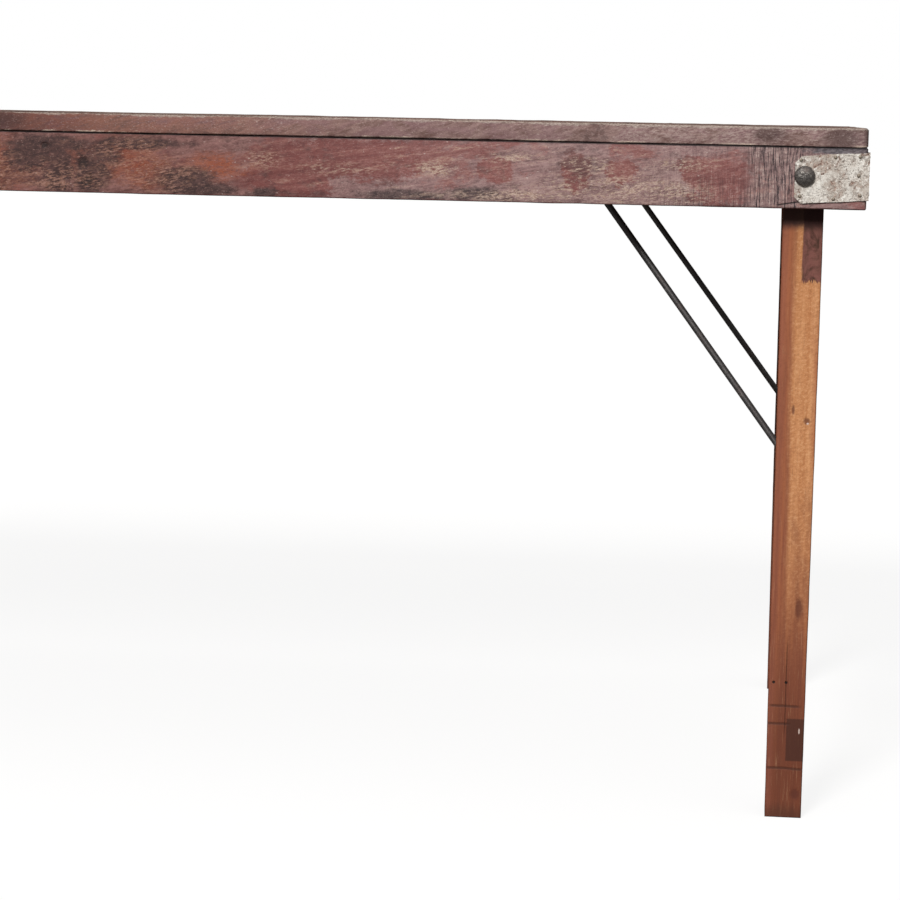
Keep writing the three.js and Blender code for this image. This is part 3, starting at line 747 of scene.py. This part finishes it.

# %% [markdown]
# ## Irons
# The bolt heads are hammered and blackened, rubbed to grey on their high spots, and on the domes
# those grey spots are also painted highlights. The braces are plain round bar, dark and slightly
# rough. Washers, nuts, straps and socket plates are the same iron, duller and touched with rust,
# and the nails are paler. One maker serves all four, because they differ only in colour, rust,
# rubbing and the size of their dents.
# %% Iron finishes
def iron(name, dark, bright, rust, rubbed, fineness, depth, roughness):
    """fineness is how many dents go on a metre, about, and depth how deep they are."""
    f = Finish(name)
    blow = f.cloud(f.stretched((fineness,) * 3), detail=3.0, rough=0.5, swirl=0.4)
    skin = f.cloud(f.stretched((fineness * 4.5,) * 3), detail=5.0, rough=0.65)
    damp = f.cloud(f.stretched((34.0, 34.0, 34.0)), detail=6.0, rough=0.65, swirl=0.5)
    shown = f.mix(skin.rise(0.3, 0.7), colour(dark), colour(bright))
    # Grey on the high spots: rubbed wear, and where rubbing is strong, as on the bolts, painted
    # highlights.
    shown = f.mix((blow * 0.7 + skin * 0.3).rise(0.54, 0.66) * rubbed, shown, colour("97918a"))
    rusty = (damp * 0.7 + skin * 0.3).rise(0.52, 0.60) * rust
    shown = f.mix(rusty, shown, f.mix(skin, colour("3d241a"), colour("7a4a31")))
    f.set("Base Color", shown)
    f.set("Roughness", roughness + skin * 0.2 + rusty * 0.3)
    f.set("Metallic", 0.75 - rusty * 0.6)
    f.bump(blow * 0.8 + skin * 0.35, depth, 0.8)
    return f.material


# The bolts' strong rubbing paints highlights on the high spots of their domes, besides the wear.
bolt_iron = iron("hammered_bolt_iron", "46423f", "75706c", rust=0.20, rubbed=0.95,
                 fineness=260.0, depth=1.6 * mm, roughness=0.34)
brace_iron = iron("brace_iron", "464444", "625f5e", rust=0.15, rubbed=0.25,
                  fineness=160.0, depth=0.3 * mm, roughness=0.40)
dull_iron = iron("dull_iron", "4b4643", "6b645e", rust=0.55, rubbed=0.35,
                 fineness=240.0, depth=0.4 * mm, roughness=0.45)
nail_iron = iron("nail_iron", "6a5f55", "a39888", rust=0.35, rubbed=0.50,
                 fineness=600.0, depth=0.4 * mm, roughness=0.45)
print("irons made:", bolt_iron.name, brace_iron.name, dull_iron.name, nail_iron.name)

# %% [markdown]
# ## From a worked mesh to a finished piece
# Every piece ends the same way. The mesh gets its material, its curved faces are shaded smooth
# while true arrises stay sharp, and weighted normals keep the wide faces flat right up to their
# rounded edges. The piece then rides on its body and stands for the nodes it replaces.
# %% Finishing a piece
smooth_below = math.radians(50)


def finish_piece(bm, name, body, material, replaced=(), weighted=True):
    for face in bm.faces:
        face.smooth = True
    for edge in bm.edges:
        edge.smooth = len(edge.link_faces) == 2 and edge.calc_face_angle(0.0) < smooth_below
    mesh = bpy.data.meshes.new(name)
    bm.to_mesh(mesh)
    bm.free()
    mesh.materials.append(material)
    piece = bpy.data.objects.new(name, mesh)
    bpy.context.collection.objects.link(piece)
    if weighted:
        piece.modifiers.new("even shading", "WEIGHTED_NORMAL").keep_sharp = True
    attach(piece, body)
    if replaced:
        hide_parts(*replaced)
    return piece


print("arrises stay sharp above", round(math.degrees(smooth_below)), "degrees")

# %% [markdown]
# ## Working a measured mesh
# A measured mesh is loose triangles, so a copy of it is merged before it is worked. It is then cut
# across into bays, because a long straight edge can't wander until it has points to move. The
# wandering comes from smooth noise, which moves neighbouring points together. That noise starts
# from the clock unless it is given a seed, so it gets one, and every run makes the same table.
# %% Working a mesh
noise.seed_set(1)


def merged_copy(node):
    """The measured node's mesh with its loose triangles joined and its flat faces whole."""
    bm = bmesh.new()
    bm.from_mesh(nodes[node].data)
    bmesh.ops.remove_doubles(bm, verts=bm.verts[:], dist=1e-6)
    bmesh.ops.dissolve_limit(bm, angle_limit=math.radians(0.6), verts=bm.verts[:],
                             edges=bm.edges[:], use_dissolve_boundaries=False)
    return bm


def cut_into_bays(bm, axis, spacing):
    """Cuts the mesh across one axis at even distances, so that its long edges can wander."""
    at = [v.co[axis] for v in bm.verts]
    low, high = min(at), max(at)
    count = max(1, round((high - low) / spacing))
    normal = Vector([1.0 if k == axis else 0.0 for k in range(3)])
    for i in range(1, count):
        where = normal * (low + (high - low) * (i + 0.31) / count)
        geometry = bm.verts[:] + bm.edges[:] + bm.faces[:]
        bmesh.ops.bisect_plane(bm, geom=geometry, dist=1e-5, plane_co=where, plane_no=normal)
    return count


def wander(point, sizes, seed):
    """A small smooth wandering: each size is (metres, waves a metre along each axis)."""
    total = Vector((0.0, 0.0, 0.0))
    for amount, waves in sizes:
        place = Vector([c * w for c, w in zip(point, waves)])
        total += noise.noise_vector(place + Vector((seed, seed * 1.7, seed * 0.6))) * amount
    return total


def fade(distance, over):
    """0 at no distance, 1 from the distance over on, and even between."""
    return min(1.0, max(0.0, distance / over))


print("mesh helpers ready")

# %% [markdown]
# ## Boards and aprons with worn edges
# Sawn wood that has been carried about is never quite straight. Each board is the measured one cut
# into short bays, and every corner of each bay is moved a little by a slow wave and a quick one.
# The wide faces stay flat, and the arrises wander by up to a millimetre, as worn arrises do.
# %% Boards, aprons and end rails
X, Y, Z = 0, 1, 2


def worn_timber(node, axis, material, spacing, amount, seed, keep_clear=None):
    """The node's own shape with wandering arrises. axis is the way that its grain runs."""
    bm = merged_copy(node)
    bays = cut_into_bays(bm, axis, spacing)
    slow = [2.5, 2.5, 2.5]
    quick = [30.0, 30.0, 30.0]
    slow[axis], quick[axis] = 3.0, 26.0
    sizes = ((amount, slow), (amount * 0.55, quick), (amount * 0.3, [w * 3.3 for w in quick]))
    for v in bm.verts:
        move = wander(v.co, sizes, seed)
        move[axis] *= 0.3
        if keep_clear is not None:
            move *= keep_clear(v.co)
        v.co += move
    piece = finish_piece(bm, f"worn_{node}", body_of[node], material, [node])
    return piece, bays


body_of = {n: b for b, names in frame["record"]["behaviour"]["bodies"].items() for n in names}
board_names = [f"top_board_{i}" for i in range(1, 6)]
for i, node in enumerate(board_names, 1):
    piece, bays = worn_timber(node, X, board_wood, spacing=0.010, amount=0.0008,
                              seed=3.0 * i)
print("boards:", bays, "bays each,", len(piece.data.polygons), "faces each")
for i, face in enumerate(faces):
    worn_timber(f"{face}_apron", X, apron_paint, spacing=0.010, amount=0.0005,
                seed=21.0 + i)
for i, end in enumerate(ends):
    worn_timber(f"{end}_end_rail", Y, end_paint, spacing=0.010, amount=0.0005,
                seed=31.0 + i)
    for j, kind in enumerate(("end_batten", "middle_batten")):
        worn_timber(f"{end}_{kind}", Y, batten_wood, spacing=0.020, amount=0.0006,
                    seed=41.0 + 2 * i + j)
print("aprons, end rails and battens made")

# %% [markdown]
# ## Legs and their rails
# The legs turn on their bolts between a washer and the apron, so their wandering fades out near the
# pivot, and the holes and mortises stay exactly where they were measured.
# %% Legs and rails
round_top, joint_gap = 35 * mm, 4 * mm


def away_from_pivot(point):
    return fade(pivot_z - round_top - point.z, 50 * mm)


def away_from_legs(point):
    return fade(-leg_high.y - joint_gap - abs(point.y), 30 * mm)


for i, end in enumerate(ends):
    for j, face in enumerate(faces):
        piece, bays = worn_timber(f"{end}_{face}_leg", Z, leg_wood, spacing=0.014,
                                  amount=0.00045, seed=51.0 + 2 * i + j,
                                  keep_clear=away_from_pivot)
    for j, kind in enumerate(("upper_rail", "stretcher")):
        worn_timber(f"{end}_{kind}", Y, rail_wood, spacing=0.014, amount=0.00045,
                    seed=61.0 + 2 * i + j, keep_clear=away_from_legs)
print("legs:", bays, "bays each,", len(piece.data.polygons), "faces each")

# %% [markdown]
# ## Hammered dome bolts
# A bolt is turned, so it is drawn as half of its outline and spun a full circle about its own
# axis. The dome is then dented with soft noise, as a smith's hammer would leave it.
# %% Pivot bolts
def turned(bm, outline, axis_point, axis, steps=48):
    """Spins an outline, given as (out from the axis, along the axis) in metres, into a solid."""
    side = Vector((0, 0, 1)) if abs(axis.z) < 0.5 else Vector((1, 0, 0))
    made = [bm.verts.new(axis_point + side * out + axis * along) for out, along in outline]
    edges = [bm.edges.new(pair) for pair in zip(made, made[1:])]
    bmesh.ops.spin(bm, geom=made + edges, cent=axis_point, axis=axis, angle=2 * math.pi,
                   steps=steps, use_merge=True, dvec=(0, 0, 0))
    bmesh.ops.remove_doubles(bm, verts=bm.verts[:], dist=1e-6)
    bmesh.ops.recalc_face_normals(bm, faces=bm.faces[:])


def dome_bolt(end, face):
    node = f"{end}_{face}_bolt"
    low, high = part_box(node)
    outward = Vector((0, faces[face], 0))
    radius = (high.x - low.x) / 2
    middle = Vector(((low.x + high.x) / 2, 0, (low.z + high.z) / 2))
    head = max(abs(low.y), abs(high.y))
    tip = min(abs(low.y), abs(high.y))
    dome, rim, shank, chamfer = 5.7 * mm, 0.8 * mm, 5.0 * mm, 0.8 * mm
    steps = 12
    outline = [(radius * math.sin(a), head - dome * (1 - math.cos(a)))
               for a in (math.pi / 2 * k / steps for k in range(steps + 1))]
    outline += [(radius * 0.985, head - dome - rim), (shank, head - dome - rim),
                (shank, tip + chamfer), (shank - chamfer, tip), (0.0, tip)]
    bm = bmesh.new()
    turned(bm, outline, middle, outward)
    for v in bm.verts:
        if abs(v.co.y) > head - dome - rim * 0.5:
            dent = noise.noise(v.co * 320.0 + Vector((4.0, 1.0, 2.0))) * 0.35
            v.co += (v.co - (middle + outward * (head - dome - 4 * mm))).normalized() * dent * mm
    return finish_piece(bm, f"dome_{node}", "table_top", bolt_iron, [node],
                        weighted=False)


for end in ends:
    for face in faces:
        piece = dome_bolt(end, face)
print("bolts:", len(piece.data.polygons), "faces each")

# %% [markdown]
# ## Corner plates and their nails
# The plates are thin sheet, beaten round the corner by hand. The measured plate is cut into small
# bays all three ways, dented, and its edges are let wander. Round the bolt it stays as measured.
# The nails are small turned heads, sunk a little so that none floats, and driven a little unevenly.
# %% Plates and nail heads
def beaten_plate(node, seed):
    bm = merged_copy(node)
    for axis in (X, Y, Z):
        cut_into_bays(bm, axis, 0.0045)
    for v in bm.verts:
        move = wander(v.co, ((0.0009, (45, 45, 45)), (0.0004, (160, 160, 160))), seed)
        bolt_gap = math.hypot(abs(v.co.x) - pivot_x, v.co.z - pivot_z)
        move.y *= 0.35
        v.co += move * fade(bolt_gap - 7 * mm, 6 * mm)
    return finish_piece(bm, f"beaten_{node}", "table_top", plate_paint, [node])


def nail_heads(name, body, places, outward, radius, proud):
    """One piece of several nail heads, each (place on the face, how much further it stands)."""
    sunk, steps = 0.2 * mm, 14
    bm = bmesh.new()
    for place, lift in places:
        one = bmesh.new()
        top = proud + lift
        outline = [(0.0, top), (radius * 0.5, top * 0.93), (radius * 0.85, top * 0.62),
                   (radius, top * 0.15), (radius * 0.98, -sunk), (0.0, -sunk)]
        turned(one, outline, place, outward, steps)
        mesh = bpy.data.meshes.new("nail")
        one.to_mesh(mesh)
        one.free()
        bm.from_mesh(mesh)
        bpy.data.meshes.remove(mesh)
    return finish_piece(bm, name, body, nail_iron, weighted=False)


print("plate and nail makers ready")

# %% [markdown]
# ## Nailing the plates on
# Every plate wraps one corner, so it has nails in two faces, and the nails of one face are one
# piece. Their places are measured from the bolt and, on the end, from the side of the table.
# %% Corner plates
side_nails = ((-4.5, 17.0), (-4.5, -21.5), (31.0, -24.0), (57.0, 1.5), (59.0, -19.5),
              (32.0, 20.5), (58.0, 21.5))
end_nails = ((12.0, 21.5), (31.0, 21.5), (12.0, -18.5), (31.0, -18.5), (22.0, 1.5))
nail_size = {"radius": 2.0 * mm, "proud": 0.7 * mm}
uneven = 0.1 * mm
for i, (end, way) in enumerate(ends.items()):
    for j, (face, out) in enumerate(faces.items()):
        node = f"{end}_{face}_corner_plate"
        low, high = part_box(node)
        skin_x, skin_y = max(abs(low.x), abs(high.x)), max(abs(low.y), abs(high.y))
        plate = beaten_plate(node, 71.0 + 2 * i + j)
        places = [(Vector((way * (pivot_x + x * mm), out * skin_y, pivot_z + z * mm)),
                   uneven * (k % 3)) for k, (x, z) in enumerate(side_nails)]
        nail_heads(f"{node}_nails", "table_top", places, Vector((0, out, 0)), **nail_size)
        places = [(Vector((way * skin_x, out * (skin_y - y * mm), pivot_z + z * mm)),
                   uneven * (k % 2)) for k, (y, z) in enumerate(end_nails)]
        nail_heads(f"{node}_end_nails", "table_top", places, Vector((way, 0, 0)), **nail_size)
print("plates:", len(plate.data.polygons), "faces each,", len(side_nails) + len(end_nails), "nails")

# %% [markdown]
# ## Braces bent from round bar
# A brace is one bar with four bends. A ring is drawn at one end and extruded along each straight
# run, and at each bend it is spun about the bend's own centre. A curve with a round section would
# pinch at the bends, and this way the bar keeps its thickness all the way round.
# %% Bending a bar
def bent_bar(points, leads, radius, around=20, bend_steps=10):
    """A round bar through the points. leads are how far before each inner point it bends."""
    bm = bmesh.new()
    first = (points[1] - points[0]).normalized()
    turn = first.to_track_quat("Z", "Y").to_matrix().to_4x4()
    ring = bmesh.ops.create_circle(bm, cap_ends=True, radius=radius, segments=around,
                                   matrix=Matrix.Translation(points[0]) @ turn)["verts"]
    edges = [e for e in bm.edges if e.verts[0] in ring and e.verts[1] in ring]
    at = points[0]
    for i in range(1, len(points)):
        heading = (points[i] - points[i - 1]).normalized()
        lead = leads[i - 1] if i < len(points) - 1 else 0.0
        stop = points[i] - heading * lead
        made = bmesh.ops.extrude_edge_only(bm, edges=edges)["geom"]
        ring = [g for g in made if isinstance(g, bmesh.types.BMVert)]
        known = set(ring)
        edges = [g for g in made if isinstance(g, bmesh.types.BMEdge) and set(g.verts) <= known]
        bmesh.ops.translate(bm, verts=ring, vec=stop - at)
        at = stop
        if lead:
            onward = (points[i + 1] - points[i]).normalized()
            angle = heading.angle(onward)
            inward = (onward - heading * heading.dot(onward)).normalized()
            bend = lead / math.tan(angle / 2)
            made = bmesh.ops.spin(bm, geom=ring + edges, cent=at + inward * bend,
                                  axis=heading.cross(onward).normalized(), angle=angle,
                                  steps=bend_steps, use_merge=False, dvec=(0, 0, 0))["geom_last"]
            ring = [g for g in made if isinstance(g, bmesh.types.BMVert)]
            edges = [g for g in made if isinstance(g, bmesh.types.BMEdge)]
            at = points[i] + onward * lead
    bmesh.ops.contextual_create(bm, geom=edges)
    bmesh.ops.remove_doubles(bm, verts=bm.verts[:], dist=1e-6)
    bmesh.ops.recalc_face_normals(bm, faces=bm.faces[:])
    return bm


print("bar bender ready")

# %% [markdown]
# ## The two braces
# The brace's ends turn outwards into the legs, its two arms run up and inwards, and its long top is
# the bar on which it hinges under the boards. Its reach and its height come from the measured box.
# %% Braces
bar_radius = 3.75 * mm
arm_foot, arm_top = 310 * mm, 290 * mm
foot_bend, top_bend = 8 * mm, 14 * mm
for end, way in ends.items():
    low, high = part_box(f"{end}_brace")
    foot_x = way * (max(abs(low.x), abs(high.x)) - bar_radius)
    hinge_x = way * (min(abs(low.x), abs(high.x)) + bar_radius)
    foot_z, hinge_z = low.z + bar_radius, high.z - bar_radius
    points = [Vector(p) for p in ((foot_x, low.y, foot_z), (foot_x, -arm_foot, foot_z),
                                  (hinge_x, -arm_top, hinge_z), (hinge_x, arm_top, hinge_z),
                                  (foot_x, arm_foot, foot_z), (foot_x, high.y, foot_z))]
    bm = bent_bar(points, (foot_bend, top_bend, top_bend, foot_bend), bar_radius)
    piece = finish_piece(bm, f"bent_{end}_brace", f"{end}_brace", brace_iron,
                         [f"{end}_brace"], weighted=False)
print("braces:", len(piece.data.polygons), "faces each")

# %% [markdown]
# ## Small irons and screws
# Washers, nuts, straps and socket plates are right as measured and only need their finish. Round
# screw heads hold the straps to the boards and the socket plates to the legs. The screws of a
# socket plate ride on its leg frame, and all the others on the table top.
# %% Small irons and screws
small_irons = ("_spacer", "_washer", "_nut", "_socket_plate", "_strap")
finished = [thing for node, thing in nodes.items() if node.endswith(small_irons)]
for thing in finished:
    thing.data.materials.clear()
    thing.data.materials.append(dull_iron)
strap_foot = 1.5 * mm
strap_screw, socket_screw = 14 * mm, 12.5 * mm
for end in ends:
    for face, out in faces.items():
        low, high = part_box(f"{end}_{face}_strap")
        middle = (low + high) / 2
        places = [(Vector((middle.x + side * strap_screw, middle.y, high.z - strap_foot)), 0.0)
                  for side in (-1, 1)]
        nail_heads(f"{end}_{face}_strap_screws", "table_top", places, Vector((0, 0, -1)),
                   radius=3.4 * mm, proud=1.6 * mm)
        low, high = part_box(f"{end}_{face}_socket_plate")
        middle = (low + high) / 2
        skin = min(abs(low.y), abs(high.y))
        places = [(Vector((middle.x, out * skin, middle.z + side * socket_screw)), 0.0)
                  for side in (-1, 1)]
        nail_heads(f"{end}_{face}_socket_screws", f"{end}_leg_frame", places,
                   Vector((0, -out, 0)), radius=2.6 * mm, proud=1.2 * mm)
print("small irons finished:", len(finished))

# %% [markdown]
# ## Board nails
# Rows of nails go down through the boards into the rails and battens, two to a board in each row.
# Nobody nails a perfectly straight row, so each nail drifts a few millimetres. A nail that stood
# proud would catch on things, so their heads only just show.
# %% Board nails
middle_row, batten_row, rail_inset, side_inset = 0.140, 0.760, 12.5 * mm, 32 * mm
rows = [side * x for side in (-1, 1) for x in (middle_row, batten_row, top_end - rail_inset)]
places = []
for node in board_names:
    low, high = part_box(node)
    for x in rows:
        for y in (low.y + side_inset, high.y - side_inset):
            drift = noise.noise(Vector((x * 7, y * 31, 0.5))) * 6 * mm
            places.append((Vector((x + drift, y - drift * 0.6, high.z - 0.5 * mm)), 0.0))
nail_heads("board_nails", "table_top", places, Vector((0, 0, 1)), radius=2.6 * mm,
           proud=0.5 * mm)
print("board nails:", len(places))

# %% [markdown]
# ## Floor
# The table stands on white studio paper. A white floor would throw much light up under the top, so
# the paper is really a middle grey, and a glow that only the camera sees lifts it to nearly white.
# It still takes a faint shadow. The floor is a stage for the table and no piece of it.
# %% Floor
floor_reach, paper_glow = 60.0, 0.84
floor_bm = bmesh.new()
bmesh.ops.create_grid(floor_bm, x_segments=1, y_segments=1, size=floor_reach)
floor_mesh = bpy.data.meshes.new("studio_floor")
floor_bm.to_mesh(floor_mesh)
floor_bm.free()
floor = bpy.data.objects.new("studio_floor", floor_mesh)
bpy.context.collection.objects.link(floor)
paper = Finish("studio_paper")
paper.set("Base Color", colour("777675")).set("Roughness", 0.9).set("Specular IOR Level", 0.05)
plain = Wire(paper, paper.shader.outputs[0])
seen_white = paper.add("ShaderNodeEmission", None, [(1.0, 1.0, 1.0, 1.0), paper_glow])[0]
camera_ray = paper.add("ShaderNodeLightPath")[0]
both = paper.add("ShaderNodeAddShader", None, [seen_white, plain])[0]
shade = paper.add("ShaderNodeMixShader", None, [camera_ray, plain, both])[0]
paper.feed(paper.tree.nodes["Material Output"].inputs["Surface"], shade)
floor_mesh.materials.append(paper.material)
print("floor reaches", floor_reach, "metres each way")

# %% [markdown]
# ## Light
# Two lights stand far away, so they light both ends of the table alike. The front one comes from
# the upper left and is fairly small, to bring out the grain. The ceiling one is very wide and soft.
# A weak glow all round fills the shadows, and behind the table the camera sees plain white.
# %% Light
def far_light(name, bearing, height, spread, strength):
    """An even light from far away, in degrees. bearing goes from the front to the right."""
    data = bpy.data.lights.new(name, "SUN")
    data.angle, data.energy = math.radians(spread), strength
    lamp = bpy.data.objects.new(name, data)
    a, e = math.radians(bearing), math.radians(height)
    toward = Vector((math.sin(a) * math.cos(e), -math.cos(a) * math.cos(e), math.sin(e)))
    lamp.location = toward * 8.0
    lamp.rotation_euler = toward.to_track_quat("Z", "Y").to_euler()
    bpy.context.collection.objects.link(lamp)


far_light("front_light", bearing=-16.0, height=31.0, spread=15.0, strength=2.8)
far_light("ceiling_light", bearing=25.0, height=66.0, spread=60.0, strength=1.0)
world = bpy.data.worlds.new("studio_air")
world.use_nodes = True
air = world.node_tree
glow = air.nodes["Background"]
glow.inputs["Color"].default_value = (1.0, 0.995, 0.985, 1.0)
glow.inputs["Strength"].default_value = 0.20
seen = air.nodes.new("ShaderNodeBackground")
seen.inputs["Color"].default_value = (1.0, 1.0, 1.0, 1.0)
seen.inputs["Strength"].default_value = 1.0
path = air.nodes.new("ShaderNodeLightPath")
either = air.nodes.new("ShaderNodeMixShader")
air.links.new(path.outputs["Is Camera Ray"], either.inputs[0])
air.links.new(glow.outputs[0], either.inputs[1])
air.links.new(seen.outputs[0], either.inputs[2])
air.links.new(either.outputs[0], air.nodes["World Output"].inputs["Surface"])
bpy.context.scene.world = world
bpy.context.scene.view_settings.view_transform = "Standard"

# %% [markdown]
# ## Camera
# The camera looks from the front with a long lens, a little above the top and just left of the
# right leg, so the front looks nearly flat, the far leg hides behind the near one, and hardly any
# of the upper face shows. It is tipped sideways by about a degree.
# %% Camera
eye = bpy.data.cameras.new("camera")
eye.sensor_width = 36.0
eye.lens = 111.048
eye.clip_end = 200.0
camera = bpy.data.objects.new("camera", eye)
camera.location = (0.9036, -3.4, 0.7680)
pitch, yaw, roll = math.radians(-6.927), math.radians(-6.560), math.radians(1.104)
stand = Euler((math.pi / 2 + pitch, 0.0, -yaw)).to_matrix()
camera.rotation_euler = (stand @ Matrix.Rotation(roll, 3, "Z")).to_euler()
bpy.context.collection.objects.link(camera)
bpy.context.scene.camera = camera
print("camera at", [round(c, 3) for c in camera.location])
